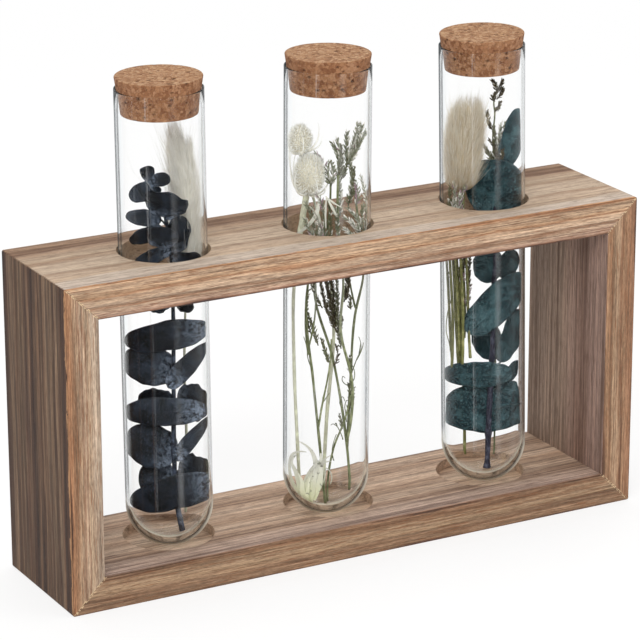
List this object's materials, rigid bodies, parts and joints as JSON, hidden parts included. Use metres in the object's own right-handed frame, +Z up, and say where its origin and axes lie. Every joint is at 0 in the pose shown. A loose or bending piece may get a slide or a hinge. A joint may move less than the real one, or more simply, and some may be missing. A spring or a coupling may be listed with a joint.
{
  "type": "test tube vase",
  "caption": "Low mitred wooden frame that holds corked round-bottomed glass tubes upright, each filled with dried flowers and leaves.",
  "frame": {"origin": "middle of the frame's flat underside", "axes": "+X along the frame's long side, to the right tube; +Y to the back; +Z up"},
  "size_m": [0.3, 0.069, 0.2366],
  "materials": {
    "wood_boards": "brushed, unvarnished light wood with a worn grain",
    "dowel_wood": "plain hardwood pins",
    "clear_glass": "clear blown glass, fire-polished rim",
    "cork": "pressed cork granules",
    "dark_stem": "dry bark",
    "dark_leaf": "dried dark blue-grey leaf, matt",
    "teal_leaf": "dried grey-green leaf, matt, mottled",
    "pale_leaf": "bleached dry leaf",
    "pale_stem": "bleached dry stem",
    "green_stem": "dried green stem",
    "pale_plume": "soft dry grass hairs",
    "bunny_tail": "soft cream grass hairs",
    "statice_flower": "papery small flowers, grey-green with white and violet"
  },
  "bodies": {
    "frame": {"top_board": "wood_boards", "base_board": "wood_boards", "left_end_board": "wood_boards", "right_end_board": "wood_boards", "mitre_dowels": "dowel_wood"},
    "left_tube": {"left_glass_tube": "clear_glass", "left_eucalyptus_stem": "dark_stem", "left_eucalyptus_tip_leaves": "dark_leaf", "left_eucalyptus_middle_leaves": "dark_leaf", "left_eucalyptus_lower_leaves": "dark_leaf", "left_plume_stem": "pale_stem", "left_plume_head": "pale_plume"},
    "left_cork": {"left_cork_stopper": "cork"},
    "middle_tube": {"middle_glass_tube": "clear_glass", "middle_seed_stems": "pale_stem", "middle_lower_seed_head": "pale_plume", "middle_upper_seed_head": "pale_plume", "middle_torn_leaf": "pale_leaf", "middle_curled_strip": "pale_leaf", "middle_statice_stems": "green_stem", "middle_statice_tufts": "statice_flower"},
    "middle_cork": {"middle_cork_stopper": "cork"},
    "right_tube": {"right_glass_tube": "clear_glass", "right_bunny_tail_stem": "green_stem", "right_bunny_tail_head": "bunny_tail", "right_stem_bundle": "green_stem", "right_statice_stems": "green_stem", "right_statice_tufts": "statice_flower", "right_eucalyptus_stem": "dark_stem", "right_eucalyptus_upper_leaves": "teal_leaf", "right_eucalyptus_lower_leaves": "teal_leaf"},
    "right_cork": {"right_cork_stopper": "cork"}
  },
  "joints": [
    {"name": "left_tube_lift", "type": "slide", "parent": "frame", "child": "left_tube", "axis": [-0.0079, 0, 1], "range_m": [0, 0.15]},
    {"name": "left_cork_pull", "type": "slide", "parent": "left_tube", "child": "left_cork", "axis": [-0.0079, 0, 1], "range_m": [0, 0.03]},
    {"name": "middle_tube_lift", "type": "slide", "parent": "frame", "child": "middle_tube", "axis": [0.0087, 0, 1], "range_m": [0, 0.15]},
    {"name": "middle_cork_pull", "type": "slide", "parent": "middle_tube", "child": "middle_cork", "axis": [0.0087, 0, 1], "range_m": [0, 0.03]},
    {"name": "right_tube_lift", "type": "slide", "parent": "frame", "child": "right_tube", "axis": [-0.0192, 0, 0.9998], "range_m": [0, 0.15]},
    {"name": "right_cork_pull", "type": "slide", "parent": "right_tube", "child": "right_cork", "axis": [-0.0192, 0, 0.9998], "range_m": [0, 0.03]}
  ]
}
